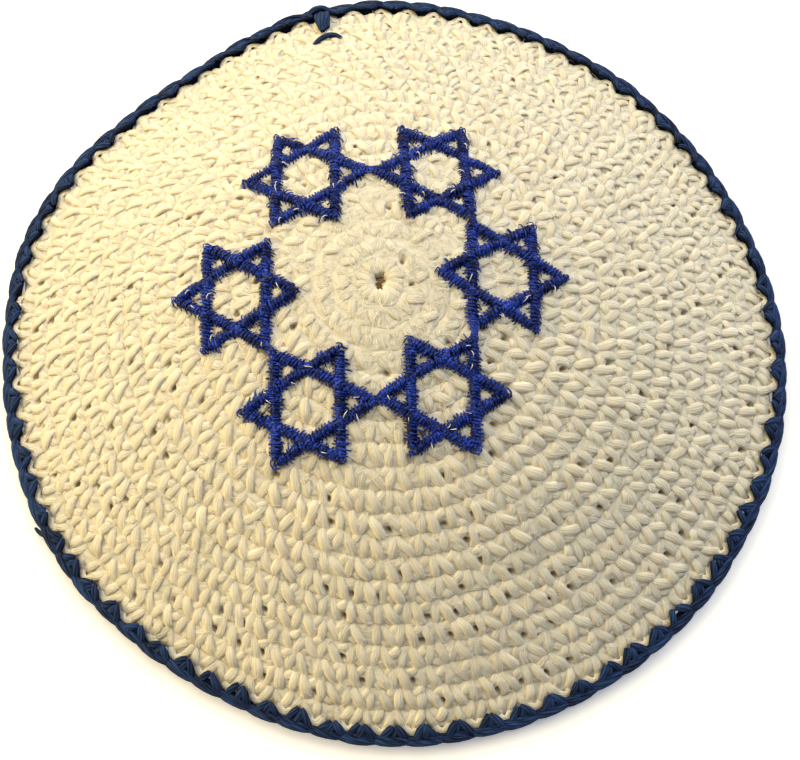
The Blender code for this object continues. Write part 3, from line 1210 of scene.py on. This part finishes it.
def build_links():
    """A few threads from tip to tip between neighbouring stars."""
    bundle = Bundle(LINK_SIDES)
    share = np.linspace(0, 1, LINK_STEPS)
    radii = np.full((1, LINK_STEPS), LINK_RADIUS)
    for index, star in enumerate(STARS):
        if star[0] == UNLINKED:
            continue
        following = STARS[(index + 1) % len(STARS)]
        near = star_frame(star, *tip_point(2, LINK_INSET))
        far = star_frame(following, *tip_point(4, LINK_INSET))
        start = dome(*near, LINK_LIFT)
        end = dome(*far, LINK_LIFT)
        up = (dome_normal(*near) + dome_normal(*far)) / 2
        side = np.cross(end - start, up)
        side /= np.linalg.norm(side)
        arch = up * (LINK_ARCH * np.sin(math.pi * share))[:, None]
        for strand in range(LINK_THREADS):
            offset = (strand - (LINK_THREADS - 1) / 2) * LINK_SPACING
            spread = offset * (1.0 + rng.uniform(-0.4, 0.6) * np.cos(TAU * share))
            path = start + (end - start) * share[:, None] + side * spread[:, None] + arch
            ups = np.broadcast_to(up, (1, LINK_STEPS, 3))
            bundle.add(path[None], radii, ups, [rng.random()])
    place("star_links", bundle.mesh("star_links"), ROYAL, None, "star_thread")


# Loose fibres

FIBRE_COUNT = 4500
FIBRE_STEPS = 4
FIBRE_SIDES = 3
FIBRE_TAPER = np.array((1.0, 1.0, 0.8, 0.3))
FIBRE_CROWDING = 0.85  # 0.5 spreads the fibres evenly, and more draws them to the centre
CENTRE_SHARE = 0.15  # of the radius, where the fibres are combed one way
SMALLEST_CIRCLE = 2 * MM
TUFTS = 9  # on each star
TUFT_RADIUS = 0.12 * MM
TUFT_LIFT = np.array((0.3, 1.2, 1.35, 0.5)) * MM
TUFT_TAPER = np.array((0.7, 1.0, 0.8, 0.3))


def lay_tufts(bundle):
    """Short wisps of cream that lie over the edges of the stars' bands."""
    share = np.linspace(-0.5, 0.5, FIBRE_STEPS)
    for star in STARS:
        for _ in range(TUFTS):
            first = rng.integers(6)
            along = rng.uniform(0.05, 0.95)
            middle = tip_point(first) * (1 - along) + tip_point(first + 2) * along
            side = rng.choice((-1.0, 1.0)) * 0.5 * BAND_WIDTH
            heading = rng.uniform(0, TAU)
            length = rng.uniform(1.0, 2.4) * MM
            x = middle[0] + side * math.cos(heading) + length * share * math.cos(heading)
            y = middle[1] + side * math.sin(heading) + length * share * math.sin(heading)
            where, slant = star_frame(star, x, y)
            path = dome(where, slant, TUFT_LIFT)
            radii = TUFT_RADIUS * TUFT_TAPER
            bundle.add(path[None], radii[None], dome_normal(where, slant)[None], [rng.random()])


def build_fuzz():
    """Fine fibres that stand off the yarn, and the tufts."""
    bundle = Bundle(FIBRE_SIDES)
    count = FIBRE_COUNT
    radius_share = 0.02 + 0.96 * rng.random(count) ** FIBRE_CROWDING
    bearing = rng.uniform(0, TAU, count)
    slant = slant_of(radius_share)
    heading = np.where(radius_share < CENTRE_SHARE, math.pi / 2, rng.uniform(0, TAU, count))
    heading = heading + rng.normal(0, 0.3, count)
    length = rng.uniform(1.5, 4.0, count) * MM
    share = np.linspace(0, 1, FIBRE_STEPS)
    bend = rng.normal(0, 0.35, count)
    direction = heading[:, None] + bend[:, None] * share
    step = length[:, None] / (FIBRE_STEPS - 1)
    along = np.cumsum(np.cos(direction) * step, 1)
    out = np.cumsum(np.sin(direction) * step, 1)
    circle = np.maximum(radius_share * CROWN_RADIUS, SMALLEST_CIRCLE)[:, None]
    where = bearing[:, None] + along / circle
    slants = np.clip(slant[:, None] + out / SLANT_LENGTH, EYE_SLANT, 1.0)
    top = rng.uniform(0.15, 0.55, count)[:, None]
    lift = -0.2 + top * np.sin(math.pi * share * 0.85)
    paths = dome(where, slants, lift * MM)
    radii = FIBRE_TAPER * rng.uniform(0.04, 0.06, (count, 1)) * MM
    clear = pit_offset(where, slants)[1].min(1) > PIT_RADIUS
    ups = dome_normal(where, slants)
    bundle.add(paths[clear], radii[clear], ups[clear], rng.random(count)[clear])
    lay_tufts(bundle)
    place("crown_fibres", bundle.mesh("crown_fibres"), FUZZ, None, "crown_yarn")


# The studio

CAMERA_DISTANCE = 0.2904
CAMERA_ELEVATION = 72.0
FOCAL_PIXELS = 1283.2
FRAME_WIDTH = 800
FRAME_HEIGHT = 760
SENSOR = 36.0
RIM_CENTRE_PIXEL = (393.3, 342.8)
FLOOR_HALF = 10.0
FLOOR_DROP = 0.0001  # so that the floor doesn't coincide with the rim's underside
# Lights: name, bearing and elevation in degrees, distance, size, power, colour
LIGHTS = (
    ("warm lamp", 170.0, 29.0, 1.0, 1.2, 15.0, (1.0, 0.77, 0.33)),
    ("window", 70.0, 43.0, 1.3, 2.2, 29.3, (1.0, 0.965, 0.85)),
)


def build_floor():
    mesh = bpy.data.meshes.new("floor")
    corners = [(FLOOR_HALF * x, FLOOR_HALF * y, 0) for x, y in ((-1, -1), (1, -1), (1, 1), (-1, 1))]
    mesh.from_pydata(corners, [], [(0, 1, 2, 3)])
    floor = bpy.data.objects.new("floor", mesh)
    bpy.context.scene.collection.objects.link(floor)
    floor.location.z = -FLOOR_DROP
    material, tree, shader = shader_tree("pale floor")
    shader.inputs["Base Color"].default_value = (0.97, 0.97, 0.97, 1)
    shader.inputs["Roughness"].default_value = 0.9
    shader.inputs["Specular IOR Level"].default_value = 0.1
    shader.inputs["Emission Color"].default_value = (0.92, 0.92, 1.0, 1)
    shader.inputs["Emission Strength"].default_value = 0.3
    mesh.materials.append(material)


def build_camera():
    data = bpy.data.cameras.new("camera")
    data.sensor_width = SENSOR
    data.lens = FOCAL_PIXELS * SENSOR / FRAME_WIDTH
    data.shift_x = (FRAME_WIDTH / 2 - RIM_CENTRE_PIXEL[0]) / FRAME_WIDTH
    data.shift_y = (RIM_CENTRE_PIXEL[1] - FRAME_HEIGHT / 2) / FRAME_WIDTH
    camera = bpy.data.objects.new("camera", data)
    bpy.context.scene.collection.objects.link(camera)
    elevation = math.radians(CAMERA_ELEVATION)
    camera.location = (
        0.0,
        -CAMERA_DISTANCE * math.cos(elevation),
        CAMERA_DISTANCE * math.sin(elevation),
    )
    camera.rotation_euler = (math.pi / 2 - elevation, 0.0, 0.0)
    bpy.context.scene.camera = camera


def add_light(name, bearing, elevation, distance, size, power, colour):
    """A soft area light, aimed at the cap."""
    data = bpy.data.lights.new(name, "AREA")
    data.shape = "DISK"
    data.size = size
    data.energy = power
    data.color = colour
    lamp = bpy.data.objects.new(name, data)
    bpy.context.scene.collection.objects.link(lamp)
    bearing = math.radians(bearing)
    elevation = math.radians(elevation)
    away = Vector(
        (
            math.cos(elevation) * math.cos(bearing),
            math.cos(elevation) * math.sin(bearing),
            math.sin(elevation),
        )
    )
    lamp.location = away * distance
    lamp.rotation_euler = (-away).to_track_quat("-Z", "Y").to_euler()


def build_lights():
    for light in LIGHTS:
        add_light(*light)
    world = bpy.data.worlds.new("soft studio")
    bpy.context.scene.world = world
    world.use_nodes = True
    background = world.node_tree.nodes["Background"]
    background.inputs["Color"].default_value = (0.55, 0.76, 1.0, 1)
    background.inputs["Strength"].default_value = 0.14
    bpy.context.scene.view_settings.view_transform = "Standard"


build_crown()
build_backing()
build_inside()
build_eye()
build_edging()
build_stars()
build_links()
build_fuzz()
build_floor()
build_camera()
build_lights()
